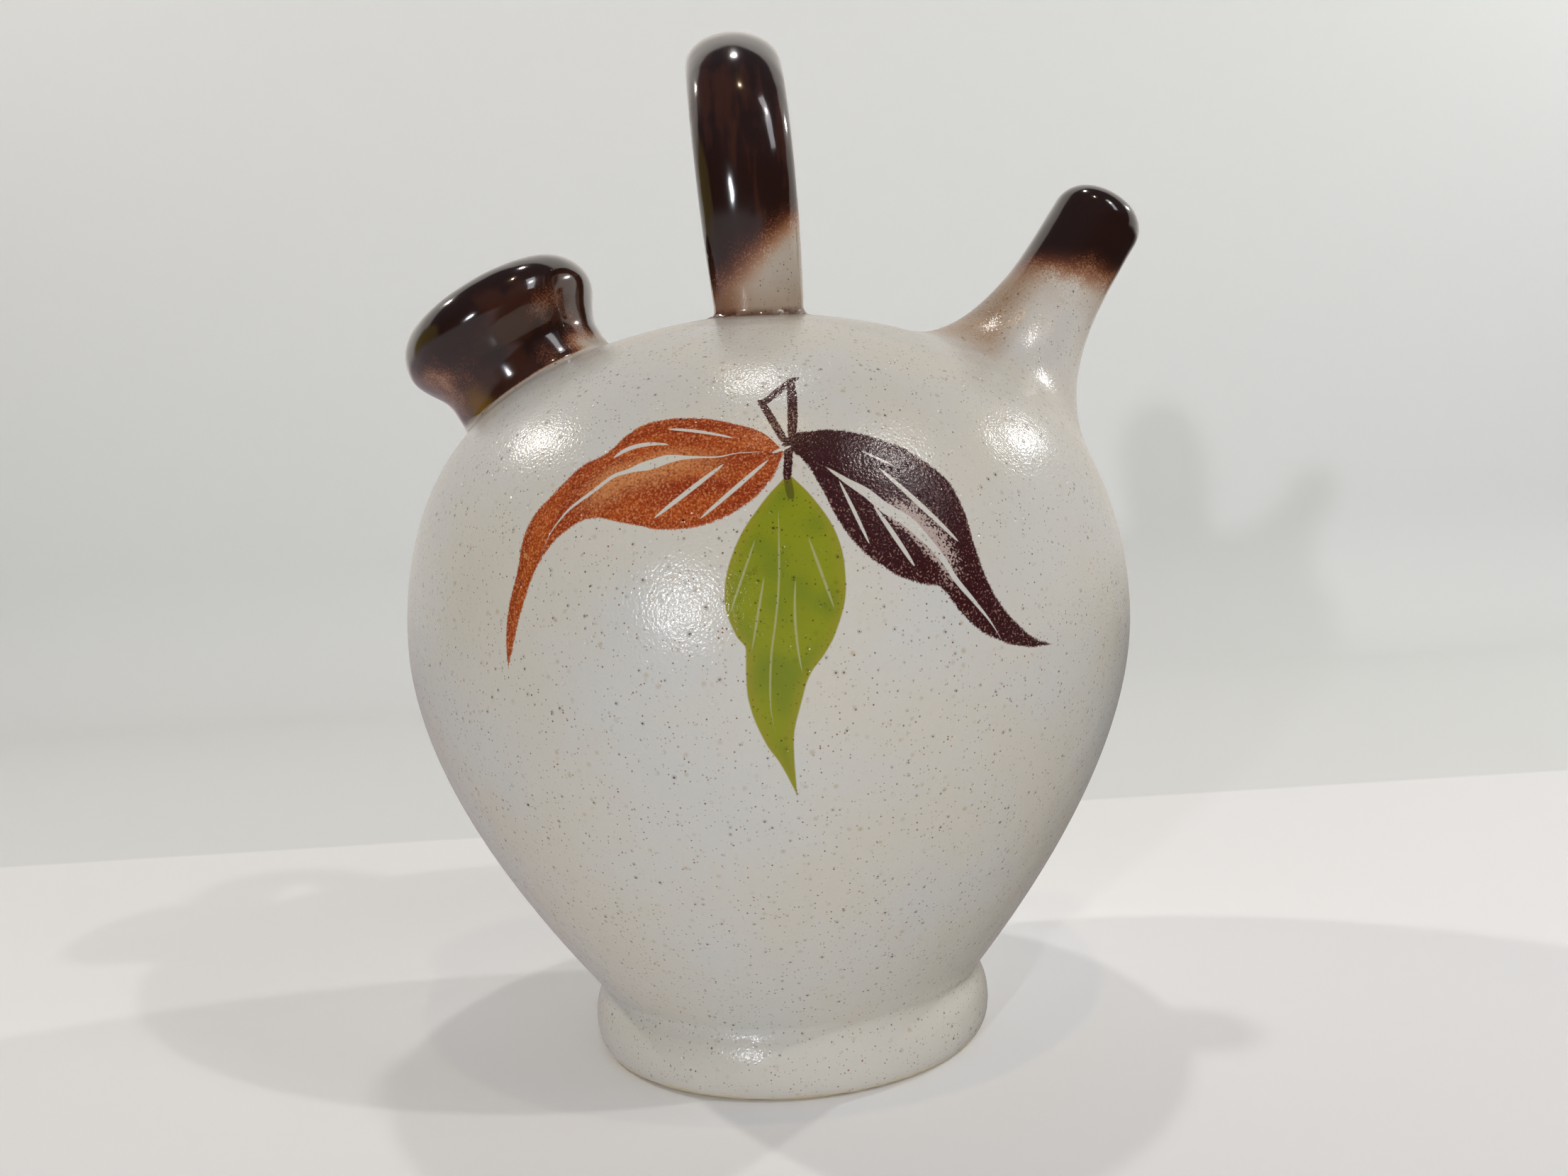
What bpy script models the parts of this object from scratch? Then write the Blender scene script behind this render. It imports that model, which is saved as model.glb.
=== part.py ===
# Stoneware water jug: a round closed body on a low turned foot, with a thick-lipped
# filling mouth and a slender drinking spout leaning away from each other on the
# shoulder, and a strap handle arched over the top. Fired as one hollow piece.
#
# Frame: metres, +Z up, origin at the centre of the foot's underside, on the turning
# axis. The mouth leans to -X, the spout to +X, and the handle's arch lies in the YZ plane.

import math

import bmesh
import bpy
from mathutils import Matrix, Vector

# Body, turned about the Z axis
BELLY_RADIUS = 0.0900
BELLY_HEIGHT = 0.1054
CROWN_RISE = 0.0766
SHOULDER_FULLNESS = 0.175
SHOULDER_TURN = 7.8
FLANK_EASE = 2.1
WALL = 0.0050
FLOOR = 0.0080
FLOOR_RADIUS = 0.0350

# Foot
FOOT_HEIGHT = 0.0156
FOOT_WAIST_RADIUS = 0.0479
FOOT_RADIUS = 0.0507
FOOT_EDGE = 0.0020

# Filling mouth, measured along its own axis from the shoulder
MOUTH_OFFSET = 0.0560
MOUTH_TILT = math.radians(28.3)
MOUTH_RISE = 0.0266
NECK_RADIUS = 0.0212
NECK_FLARE = 0.0030
LIP_RADIUS = 0.0261
LIP_HEIGHT = 0.0096
LIP_WIDTH = 0.0085
MOUTH_BORE = 0.0155
MOUTH_EASING = 0.0035

# Drinking spout, measured along its own axis from the shoulder
SPOUT_OFFSET = 0.0636
SPOUT_TILT = math.radians(34.0)
SPOUT_RISE = 0.0531
SPOUT_RADIUS = 0.0116
SPOUT_ROOT_RADIUS = 0.0246
SPOUT_ROOT_DEPTH = 0.0143
SPOUT_SWEEP = 0.0234
TIP_HEIGHT = 0.0073
TIP_WIDTH = 0.0076
SPOUT_WALL = 0.0045
JET_RADIUS = 0.0040
JET_LENGTH = 0.0090

# Handle, an arch of oval strap
HANDLE_RISE = 0.0704
HANDLE_HALF_SPAN = 0.0290
HANDLE_CROWN = 0.0320
HANDLE_TUCK = 0.0190
STRAP_WIDTH = 0.0234
STRAP_ROOT_WIDTH = 0.0206
STRAP_THICKNESS = 0.0150
STRAP_SQUARENESS = 2.1
HANDLE_SHIFT = 0.0020
HANDLE_LEAN = math.radians(2.6)

# How far a root runs on into the clay that carries it, and a cutter past a face
ROOT_DEPTH = 0.0120
STRAP_ROOT_DEPTH = 0.0030
OVERSHOOT = 0.0040

# Facets
BODY_FACETS = 60
CAVITY_FACETS = 40
MOUTH_FACETS = 36
SPOUT_FACETS = 28
STRAP_FACETS = 16
STRAP_STATIONS = 28
MERGE = 0.00002


def crown_point(belly, rise, angle):
    """Radius and height above the belly of the dome: a quarter ellipse, 0 at the belly and
    90 degrees on top, made fuller at the shoulder."""
    share = math.sin(angle)
    fuller = 1 + SHOULDER_FULLNESS * share**2 * (1 - share**SHOULDER_TURN)
    return belly * math.cos(angle) * fuller, rise * share


def shoulder_height(radius):
    """Height of the outside of the shoulder at a distance from the turning axis."""
    low, high = 0.0, math.pi / 2
    for _ in range(40):
        middle = (low + high) / 2
        if crown_point(BELLY_RADIUS, CROWN_RISE, middle)[0] > radius:
            low = middle
        else:
            high = middle
    return BELLY_HEIGHT + crown_point(BELLY_RADIUS, CROWN_RISE, low)[1]


def turned_wall(belly, rise, low_radius, low_height, rings):
    """A wall's curve from the crown's middle down over the belly to its lowest ring."""
    points = [(0.0, BELLY_HEIGHT + rise)]
    for i in range(1, rings):
        out, up = crown_point(belly, rise, math.pi / 2 * (1 - i / rings))
        points.append((out, BELLY_HEIGHT + up))
    drop = BELLY_HEIGHT - low_height
    for i in range(rings + 1):
        share = i / rings
        inward = share**2 * (1 + FLANK_EASE) / (share + FLANK_EASE)
        points.append((belly - (belly - low_radius) * inward, BELLY_HEIGHT - drop * share))
    return points


def body_outline():
    """Outside of the body and its foot, from the top down to the middle of the base."""
    points = turned_wall(BELLY_RADIUS, CROWN_RISE, FOOT_WAIST_RADIUS, FOOT_HEIGHT, 13)
    swell = FOOT_RADIUS - FOOT_WAIST_RADIUS
    points += [
        (FOOT_RADIUS - 0.25 * swell, 0.80 * FOOT_HEIGHT),
        (FOOT_RADIUS, 0.45 * FOOT_HEIGHT),
        (FOOT_RADIUS - 0.3 * FOOT_EDGE, FOOT_EDGE),
        (FOOT_RADIUS - FOOT_EDGE, 0.0),
        (0.0, 0.0),
    ]
    return points


def cavity_outline():
    """Inside of the body, one wall within the outside, on a flat floor."""
    points = turned_wall(BELLY_RADIUS - WALL, CROWN_RISE - WALL, FLOOR_RADIUS, FLOOR, 10)
    points.append((0.0, FLOOR))
    return points


def arc(centre, radii, start, end, steps):
    """Points of an ellipse about (radius, height) between two angles, both ends included."""
    points = []
    for i in range(steps + 1):
        angle = start + (end - start) * i / steps
        out = centre[0] + radii[0] * math.cos(angle)
        up = centre[1] + radii[1] * math.sin(angle)
        points.append((out, up))
    return points


def mouth_outline():
    """Filled outside of neck and rolled lip, from the lip's crest to the hidden root."""
    crest = LIP_RADIUS - LIP_WIDTH
    widest = MOUTH_RISE - LIP_HEIGHT
    points = [(0.0, MOUTH_RISE)]
    points += arc((crest, widest), (LIP_WIDTH, LIP_HEIGHT), math.pi / 2, 0.0, 6)
    waist = 0.2 * MOUTH_RISE
    steps = 5
    for i in range(1, steps + 1):
        share = i / steps
        ease = 0.5 - 0.5 * math.cos(math.pi * share)
        radius = LIP_RADIUS + (NECK_RADIUS - LIP_RADIUS) * ease
        points.append((radius, widest + (waist - widest) * share))
    points += [
        (NECK_RADIUS + 0.3 * NECK_FLARE, 0.0),
        (NECK_RADIUS + NECK_FLARE, -0.5 * waist),
        (NECK_RADIUS + NECK_FLARE, -ROOT_DEPTH),
        (0.0, -ROOT_DEPTH),
    ]
    return points


def mouth_bore_outline():
    """Straight bore of the neck, eased open at the lip and run on into the body."""
    centre = (MOUTH_BORE + MOUTH_EASING, MOUTH_RISE - MOUTH_EASING)
    eased = arc(centre, (MOUTH_EASING, MOUTH_EASING), math.radians(115), math.pi, 4)
    points = [(0.0, MOUTH_RISE + OVERSHOOT), (centre[0] + OVERSHOOT, MOUTH_RISE + OVERSHOOT)]
    points += eased
    points += [(MOUTH_BORE, -ROOT_DEPTH), (0.0, -ROOT_DEPTH)]
    return points


def spout_radius(height):
    """Outside radius of the spout's stem, which sweeps out into the shoulder as a bell curve."""
    sweep = math.exp(-(((height + SPOUT_ROOT_DEPTH) / SPOUT_SWEEP) ** 2))
    return SPOUT_RADIUS + (SPOUT_ROOT_RADIUS - SPOUT_RADIUS) * sweep


def spout_outline():
    """Filled outside of the spout, from its rounded tip to the hidden root."""
    widest = SPOUT_RISE - TIP_HEIGHT
    stem_top = spout_radius(widest)
    points = [(0.0, SPOUT_RISE)]
    points += arc((stem_top - TIP_WIDTH, widest), (TIP_WIDTH, TIP_HEIGHT), math.pi / 2, 0.0, 6)
    steps = 10
    for i in range(1, steps + 1):
        height = widest - (widest + SPOUT_ROOT_DEPTH) * i / steps
        points.append((spout_radius(height), height))
    points.append((0.0, -SPOUT_ROOT_DEPTH))
    return points


def spout_bore_outline():
    """Narrow jet hole at the tip that opens into the stem's bore, one wall inside it."""
    jet_end = SPOUT_RISE - JET_LENGTH
    points = [
        (0.0, SPOUT_RISE + OVERSHOOT),
        (JET_RADIUS + OVERSHOOT, SPOUT_RISE + OVERSHOOT),
        (JET_RADIUS, SPOUT_RISE - 0.25 * JET_RADIUS),
        (JET_RADIUS, jet_end),
    ]
    low = -SPOUT_ROOT_DEPTH
    steps = 6
    for i in range(1, steps + 1):
        height = jet_end + (low - jet_end) * i / steps
        points.append((max(spout_radius(height) - SPOUT_WALL, JET_RADIUS), height))
    points.append((0.0, low))
    return points


def turned(name, outline, facets, place):
    """An outline at +X turned about its own Z axis into a closed solid."""
    mesh = bpy.data.meshes.new(name)
    points = [(radius, 0.0, height) for radius, height in outline]
    edges = [(i, i + 1) for i in range(len(points) - 1)]
    mesh.from_pydata(points, edges, [])
    solid = bpy.data.objects.new(name, mesh)
    solid.matrix_world = place
    bpy.context.scene.collection.objects.link(solid)
    screw = solid.modifiers.new("turn", "SCREW")
    screw.axis = "Z"
    screw.angle = math.tau
    screw.steps = facets
    screw.render_steps = facets
    screw.use_merge_vertices = True
    screw.merge_threshold = MERGE
    screw.use_smooth_shade = True
    return solid


def on_shoulder(offset, tilt):
    """Place at a signed distance along X from the turning axis, leaning from +Z towards +X."""
    seat = Vector((offset, 0.0, shoulder_height(abs(offset))))
    return Matrix.Translation(seat) @ Matrix.Rotation(tilt, 4, "Y")


def handle_path():
    """Centreline of the arch as (y, z, share of the way up), from the front root to the back."""
    top = BELLY_HEIGHT + CROWN_RISE + HANDLE_RISE - STRAP_THICKNESS / 2
    waist = top - HANDLE_CROWN
    root = shoulder_height(HANDLE_TUCK) - STRAP_ROOT_DEPTH
    tuck_angle = math.acos(HANDLE_TUCK / HANDLE_HALF_SPAN)
    leg = (waist - root) / math.sin(tuck_angle)
    points = []
    for i in range(STRAP_STATIONS + 1):
        swing = -1 + 2 * i / STRAP_STATIONS
        angle = (math.pi / 2 + tuck_angle) * swing
        if abs(angle) <= math.pi / 2:
            y = HANDLE_HALF_SPAN * math.sin(angle)
            z = waist + HANDLE_CROWN * math.cos(angle)
        else:
            y = math.copysign(HANDLE_HALF_SPAN * math.cos(abs(angle) - math.pi / 2), angle)
            z = waist - leg * math.sin(abs(angle) - math.pi / 2)
        points.append((y, z, 1 - abs(swing)))
    return points


def handle_solid(name):
    """The strap: an oval carried along the arch, wider on top than at its roots."""
    path = handle_path()
    root_height = path[0][1]
    shape = bmesh.new()
    rings = []
    for i, (y, z, share) in enumerate(path):
        before = path[max(i - 1, 0)]
        after = path[min(i + 1, len(path) - 1)]
        along = Vector((0.0, after[0] - before[0], after[1] - before[1])).normalized()
        across = Vector((0.0, -along.z, along.y))
        widen = math.sin(min(share * 2, 1.0) * math.pi / 2)
        half_width = 0.5 * (STRAP_ROOT_WIDTH + (STRAP_WIDTH - STRAP_ROOT_WIDTH) * widen)
        middle_x = HANDLE_SHIFT - math.tan(HANDLE_LEAN) * (z - root_height)
        ring = []
        for k in range(STRAP_FACETS):
            turn = math.tau * k / STRAP_FACETS
            cosine, sine = math.cos(turn), math.sin(turn)
            wide = math.copysign(abs(cosine) ** (2 / STRAP_SQUARENESS), cosine)
            thick = math.copysign(abs(sine) ** (2 / STRAP_SQUARENESS), sine)
            spot = Vector((middle_x + half_width * wide, y, z))
            spot += across * (0.5 * STRAP_THICKNESS * thick)
            ring.append(shape.verts.new(spot))
        rings.append(ring)
    for ring, following in zip(rings, rings[1:]):
        for k in range(STRAP_FACETS):
            j = (k + 1) % STRAP_FACETS
            shape.faces.new((ring[k], ring[j], following[j], following[k]))
    shape.faces.new(rings[0])
    shape.faces.new(rings[-1])
    bmesh.ops.recalc_face_normals(shape, faces=shape.faces)
    mesh = bpy.data.meshes.new(name)
    shape.to_mesh(mesh)
    shape.free()
    mesh.shade_smooth()
    solid = bpy.data.objects.new(name, mesh)
    bpy.context.scene.collection.objects.link(solid)
    return solid


def combine(target, tool, operation):
    """Joins a guide solid to the jug, or cuts it away, and hides the guide."""
    step = target.modifiers.new(tool.name, "BOOLEAN")
    step.operation = operation
    step.solver = "EXACT"
    step.object = tool
    tool.hide_render = True
    tool.display_type = "WIRE"


def glaze_material():
    """Pale satin stoneware glaze."""
    material = bpy.data.materials.new("pale_stoneware_glaze")
    material.use_nodes = True
    shader = material.node_tree.nodes["Principled BSDF"]
    shader.inputs["Base Color"].default_value = (0.58, 0.54, 0.48, 1.0)
    shader.inputs["Roughness"].default_value = 0.35
    shader.inputs["Metallic"].default_value = 0.0
    return material


def build():
    for old in list(bpy.data.objects):
        bpy.data.objects.remove(old)
    upright = Matrix.Identity(4)
    at_mouth = on_shoulder(-MOUTH_OFFSET, -MOUTH_TILT)
    at_spout = on_shoulder(SPOUT_OFFSET, SPOUT_TILT)
    jug = turned("jug", body_outline(), BODY_FACETS, upright)
    combine(jug, turned("mouth_form", mouth_outline(), MOUTH_FACETS, at_mouth), "UNION")
    combine(jug, turned("spout_form", spout_outline(), SPOUT_FACETS, at_spout), "UNION")
    combine(jug, handle_solid("handle_form"), "UNION")
    combine(jug, turned("cavity", cavity_outline(), CAVITY_FACETS, upright), "DIFFERENCE")
    combine(jug, turned("mouth_bore", mouth_bore_outline(), MOUTH_FACETS, at_mouth), "DIFFERENCE")
    combine(jug, turned("spout_bore", spout_bore_outline(), SPOUT_FACETS, at_spout), "DIFFERENCE")
    jug.data.materials.append(glaze_material())


build()
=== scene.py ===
import math
import time
from functools import partial

import bpy
import numpy as np
from mathutils import Matrix


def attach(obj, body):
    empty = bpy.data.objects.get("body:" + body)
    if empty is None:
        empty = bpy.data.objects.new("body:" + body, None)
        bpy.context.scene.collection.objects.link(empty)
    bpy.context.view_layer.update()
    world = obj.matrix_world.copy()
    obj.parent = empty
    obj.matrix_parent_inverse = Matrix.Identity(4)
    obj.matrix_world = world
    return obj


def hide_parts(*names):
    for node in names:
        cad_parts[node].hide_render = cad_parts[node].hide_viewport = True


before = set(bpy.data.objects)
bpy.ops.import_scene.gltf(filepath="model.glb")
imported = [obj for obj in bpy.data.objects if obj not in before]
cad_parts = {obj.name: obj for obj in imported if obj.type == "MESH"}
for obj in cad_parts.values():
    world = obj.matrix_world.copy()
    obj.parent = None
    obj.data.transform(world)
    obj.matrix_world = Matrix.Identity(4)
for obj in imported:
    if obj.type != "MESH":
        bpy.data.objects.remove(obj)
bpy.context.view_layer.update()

startTime = time.time()


def report(stage):
    # one printed line: the seconds since the start, then the stage that is done
    print(f"{time.time() - startTime:6.1f} s  {stage}")


# Every length is in millimetres until it goes into a mesh, but for the stage, the lamps and the panels.
metre = 0.001

# Body and foot, thrown and turned about the Z axis
bodyShape = {
    "bellyRadius": 90.0,
    "bellyHeight": 105.4,
    "crownRise": 76.6,  # from the belly up to the crown
    "shoulderFullness": 0.175,  # how far the shoulder stands out from a plain ellipse
    "shoulderTurn": 7.8,  # how late it turns in to the crown
    "flankEase": 2.1,  # how evenly the wall narrows towards the foot
    "waistRadius": 47.9,  # at the joint of body and foot
    "footHeight": 15.6,
    "footRadius": 50.7,
    "footBulge": 7.5,  # height of the foot's widest ring
    "footTuck": 2.2,  # how far the foot pulls in below that ring
    "wall": 5.0,
    "floor": 8.0,
    "floorRadius": 35.0,
}


def domeCurve(belly, rise, angle):
    # quarter ellipse from the belly to the crown, fuller at the shoulder:
    # r = belly cos a (1 + fullness sin2 a (1 - sin^turn a)), h = rise sin a
    share = np.sin(angle)
    fuller = 1 + bodyShape["shoulderFullness"] * share**2 * (1 - share ** bodyShape["shoulderTurn"])
    return np.stack([belly * np.cos(angle) * fuller, bodyShape["bellyHeight"] + rise * share], 1)


def flankCurve(belly, lowRadius, lowHeight, share):
    # from the belly, share 0, down to the low ring, share 1:
    # r falls by share2 (1 + ease) / (share + ease) of the way
    ease = bodyShape["flankEase"]
    inward = share**2 * (1 + ease) / (share + ease)
    height = bodyShape["bellyHeight"] - (bodyShape["bellyHeight"] - lowHeight) * share
    return np.stack([belly - (belly - lowRadius) * inward, height], 1)


def shoulderHeight(radius):
    # height of the outside of the dome over a distance from the axis, read back from its curve
    angle = np.linspace(math.pi / 2, 0, 4000)
    r, h = domeCurve(bodyShape["bellyRadius"], bodyShape["crownRise"], angle).T
    return float(np.interp(radius, r, h))


def runAlong(line):
    # length along a polyline at each of its points: the running sum of its steps
    return np.concatenate([[0.0], np.cumsum(np.hypot(*np.diff(line, axis=0).T))])


def smoothLine(points, spacing, blur):
    # even steps along a polyline, then a Gaussian average, cut off at three times its width,
    # that rounds its corners
    points = np.array(points, float)
    run = runAlong(points)
    count = int(run[-1] / spacing) + 1
    even = np.stack([np.interp(np.linspace(0, run[-1], count), run, points[:, i]) for i in (0, 1)], 1)
    reach = int(3 * blur / spacing)
    weights = np.exp(-0.5 * (np.arange(-reach, reach + 1) * spacing / blur) ** 2)
    weights /= weights.sum()
    padded = np.concatenate([even[0] * 2 - even[reach:0:-1], even, even[-1] * 2 - even[-2:-reach - 2:-1]])
    return np.stack([np.convolve(padded[:, i], weights, "valid") for i in (0, 1)], 1)


def bodyLine():
    # dome, flank and foot as one outline of (radius, height)
    b = bodyShape
    dome = domeCurve(b["bellyRadius"], b["crownRise"], np.linspace(math.pi / 2, 0, 120))
    flank = flankCurve(b["bellyRadius"], b["waistRadius"], b["footHeight"], np.linspace(0, 1, 90))
    # the foot swells from the waist to its widest ring, then tucks in to the table
    upper = np.linspace(b["footHeight"], b["footBulge"], 20)
    rise = (upper - b["footBulge"]) / (b["footHeight"] - b["footBulge"])
    swell = b["footRadius"] - (b["footRadius"] - b["waistRadius"]) * rise**2
    lower = np.linspace(b["footBulge"], 0, 20)
    tuck = b["footRadius"] - b["footTuck"] * (1 - lower / b["footBulge"]) ** 3
    foot = np.concatenate([np.stack([swell, upper], 1), np.stack([tuck, lower], 1)[1:], [[0.0, 0.0]]])
    return np.concatenate([dome, flank[1:], foot[1:]])


def cavityLine():
    # the same dome and flank, one wall further in
    b = bodyShape
    belly = b["bellyRadius"] - b["wall"]
    dome = domeCurve(belly, b["crownRise"] - b["wall"], np.linspace(math.pi / 2, 0, 90))
    flank = flankCurve(belly, b["floorRadius"], b["floor"], np.linspace(0, 1, 70))
    return np.concatenate([dome, flank[1:], [[0.0, b["floor"]]]])


# Filling mouth, along its own axis from its seat on the shoulder
mouthShape = {
    "offset": -56.0,  # of its seat from the jug's axis
    "tilt": -28.3,  # degrees from upright
    "rise": 26.6,  # from its seat to the top of the lip
    "neckRadius": 21.2,
    "lipRadius": 26.1,
    "lipHeight": 9.6,
    "lipWidth": 9.6,
    "neckShare": 0.7,  # share of the way from lip to seat over which the neck eases in
    "bore": 15.5,
    "boreAbove": 12.0,  # how far the bore runs on above the lip and below the root
    "boreBelow": 4.0,
    "rootDepth": 9.0,
}


def mouthLine():
    # a thick lip, a quarter ellipse over its widest ring, and a neck that eases in as half a cosine wave
    m = mouthShape
    widest = m["rise"] - m["lipHeight"]
    turn = np.linspace(math.pi / 2, 0, 30)
    lip = np.stack([m["lipRadius"] - m["lipWidth"] * (1 - np.cos(turn)),
                    widest + m["lipHeight"] * np.sin(turn)], 1)
    share = np.linspace(0, 1, 30)
    ease = 0.5 - 0.5 * np.cos(math.pi * share)
    neck = np.stack([m["lipRadius"] + (m["neckRadius"] - m["lipRadius"]) * ease,
                     widest * (1 - m["neckShare"] * share)], 1)
    root = [[m["neckRadius"], -m["rootDepth"]], [0.0, -m["rootDepth"]]]
    return np.concatenate([[[0.0, m["rise"]]], lip, neck[1:], root])


def mouthBoreLine():
    # a straight bore from above the lip down into the hollow
    m = mouthShape
    top = m["rise"] + m["boreAbove"]
    low = -m["rootDepth"] - m["boreBelow"]
    return np.array([[0.0, top], [m["bore"], top], [m["bore"], low], [0.0, low]])


# Drinking spout, along its own axis from its seat on the shoulder
spoutShape = {
    "offset": 63.6,
    "tilt": 34.0,
    "rise": 53.1,
    "radius": 11.6,
    "rootRadius": 24.6,
    "rootDepth": 14.3,
    "sweep": 23.4,  # how high the root's flare reaches up the stem
    "tipHeight": 7.3,  # the tip's rounding, along and across
    "tipWidth": 8.2,
    "wall": 4.5,
    "jetRadius": 4.0,
    "jetLength": 9.0,
    "boreAbove": 10.0,
}


def stemRadius(height):
    # a slim stem that sweeps out to the shoulder as a bell curve
    s = spoutShape
    bell = np.exp(-(((height + s["rootDepth"]) / s["sweep"]) ** 2))
    return s["radius"] + (s["rootRadius"] - s["radius"]) * bell


def spoutLine():
    # a quarter ellipse over the tip, then the stem
    s = spoutShape
    widest = s["rise"] - s["tipHeight"]
    turn = np.linspace(math.pi / 2, 0, 24)
    tip = np.stack([stemRadius(widest) - s["tipWidth"] * (1 - np.cos(turn)),
                    widest + s["tipHeight"] * np.sin(turn)], 1)
    height = np.linspace(widest, -s["rootDepth"], 80)
    stem = np.stack([stemRadius(height), height], 1)
    return np.concatenate([[[0.0, s["rise"]]], tip, stem[1:], [[0.0, -s["rootDepth"]]]])


def spoutBoreLine():
    # a narrow jet at the tip, then one wall inside the stem
    s = spoutShape
    jetEnd = s["rise"] - s["jetLength"]
    height = np.linspace(jetEnd, -s["rootDepth"], 50)
    inner = np.maximum(stemRadius(height) - s["wall"], s["jetRadius"])
    inner[0] = s["jetRadius"]
    top = s["rise"] + s["boreAbove"]
    return np.concatenate([[[0.0, top], [s["jetRadius"], top], [s["jetRadius"], jetEnd]],
                           np.stack([inner, height], 1)[1:], [[0.0, -s["rootDepth"]]]])


# Strap handle, arched over the crown in the YZ plane
handleShape = {
    "rise": 70.4,  # from the jug's crown to the top of the strap
    "halfSpan": 29.0,  # from the middle of the arch to the widest place of its centre line
    "crown": 32.0,  # height of the arch above that place
    "tuck": 19.0,  # how far from the middle a leg meets the shoulder
    "width": 23.4,
    "rootWidth": 20.6,
    "thickness": 15.0,
    "rootThickness": 14.0,
    "shift": 2.0,  # of the roots to the right
    "lean": 2.6,  # degrees to the left
    "sink": 3.0,  # how deep a leg is measured into the shoulder
    "overrun": 0.12,  # and how much further it turns, in radians, so that it ends in the wall
}


def handleCentre(count):
    # half the arch, from the crown down its leg: a quarter ellipse, then a leg that tucks in
    # along a longer ellipse and runs on into the shoulder
    h = handleShape
    top = bodyShape["bellyHeight"] + bodyShape["crownRise"] + h["rise"] - h["thickness"] / 2
    waist = top - h["crown"]
    root = shoulderHeight(h["tuck"]) - h["sink"]
    tuckAngle = math.acos(h["tuck"] / h["halfSpan"])
    leg = (waist - root) / math.sin(tuckAngle)
    turn = np.linspace(0, math.pi / 2, count)
    crown = np.stack([h["halfSpan"] * np.sin(turn), waist + h["crown"] * np.cos(turn)], 1)
    turn = np.linspace(0, tuckAngle + h["overrun"], count)[1:]
    legs = np.stack([h["halfSpan"] * np.cos(turn), waist - leg * np.sin(turn)], 1)
    line = np.concatenate([crown, legs])
    return line, runAlong(line), root


# How softly the joined clay runs from one form into the next
jointWidth = {"mouth": 5.0, "spout": 14.0, "handle": 2.4, "mouthBore": 3.0, "spoutBore": 4.0, "rims": 3.6}


def signedTable(line, low, high, step):
    # signed distance to the closed half outline (its mirror image closes it at r = 0),
    # worked out once on a fine grid of (radius, height) and read back between its points
    r = np.arange(low[0], high[0] + step, step)
    z = np.arange(low[1], high[1] + step, step)
    gridR, gridZ = np.meshgrid(r, z, indexing="ij")
    px = gridR.ravel()
    pz = gridZ.ravel()
    best = np.full(px.shape, 1e9)
    inside = np.zeros(px.shape, bool)
    for (ar, az), (br, bz) in zip(line[:-1], line[1:]):
        er, ez = br - ar, bz - az
        length2 = er * er + ez * ez
        if length2 < 1e-12:
            continue
        t = np.clip(((px - ar) * er + (pz - az) * ez) / length2, 0, 1)
        best = np.minimum(best, (px - ar - t * er) ** 2 + (pz - az - t * ez) ** 2)
        crosses = (az > pz) != (bz > pz)
        if abs(ez) > 1e-12:
            inside ^= crosses & (np.abs(px) < ar + (pz - az) * er / ez)
    table = (np.sqrt(best) * np.where(inside, -1, 1)).reshape(gridR.shape)

    def read(radius, height):
        # the mean of the four grid points round a place, each weighted by how near it is
        u = np.clip((radius - r[0]) / step, 0, len(r) - 1.001)
        v = np.clip((height - z[0]) / step, 0, len(z) - 1.001)
        i = u.astype(int)
        j = v.astype(int)
        u -= i
        v -= j
        return ((table[i, j] * (1 - u) + table[i + 1, j] * u) * (1 - v)
                + (table[i, j + 1] * (1 - u) + table[i + 1, j + 1] * u) * v)
    return read


def seat(shape):
    # where a leaning form stands on the shoulder, and its axis
    lean = math.radians(shape["tilt"])
    place = np.array([shape["offset"], 0.0, shoulderHeight(abs(shape["offset"]))])
    return place, np.array([math.sin(lean), 0.0, math.cos(lean)])


def aroundAxis(p, place, axis):
    # distance from an axis, and height along it
    q = p - place
    height = q @ axis
    away = np.sqrt(np.maximum((q * q).sum(-1) - height * height, 0))
    return away, height


def smoothMin(a, b, width):
    # the smaller of two distances, rounded where they are within a width of each other
    h = np.maximum(width - np.abs(a - b), 0) / width
    return np.minimum(a, b) - h * h * h * width / 6


def smoothMax(a, b, width):
    # the larger of two distances, rounded in the same way
    return -smoothMin(-a, -b, width)


def strapDistance(centre, run, rootHeight):
    # distance to the strap: an ellipse across, half wide and thick, carried along the arch's centre
    # line; in that ellipse's own measure it is k0 (k0 - 1) / k1, k0 its place and k1 its slope
    h = handleShape

    def distance(p):
        y = np.abs(p[:, 1])
        z = p[:, 2]
        start = centre[:-1]
        step = centre[1:] - start
        best = np.full(len(p), 1e9)
        along = np.zeros(len(p))
        for i in range(len(start)):
            length2 = step[i] @ step[i]
            t = ((y - start[i, 0]) * step[i, 0] + (z - start[i, 1]) * step[i, 1]) / length2
            t = np.clip(t, -1 if i == 0 else 0, 1)
            d = (y - start[i, 0] - t * step[i, 0]) ** 2 + (z - start[i, 1] - t * step[i, 1]) ** 2
            near = d < best
            best = np.where(near, d, best)
            along = np.where(near, run[i] + t * math.sqrt(length2), along)
        share = 1 - np.clip(along / run[-1], 0, 1)
        widen = np.sin(np.minimum(share * 2, 1) * math.pi / 2)
        half = 0.5 * (h["rootWidth"] + (h["width"] - h["rootWidth"]) * widen)
        thick = 0.5 * (h["rootThickness"] + (h["thickness"] - h["rootThickness"]) * widen)
        middle = h["shift"] - math.tan(math.radians(h["lean"])) * (z - rootHeight)
        dx = p[:, 0] - middle
        k0 = np.sqrt((dx / half) ** 2 + best / thick**2)
        k1 = np.sqrt((dx / half**2) ** 2 + best / thick**4) + 1e-9
        return k0 * (k0 - 1) / k1
    return distance


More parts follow.
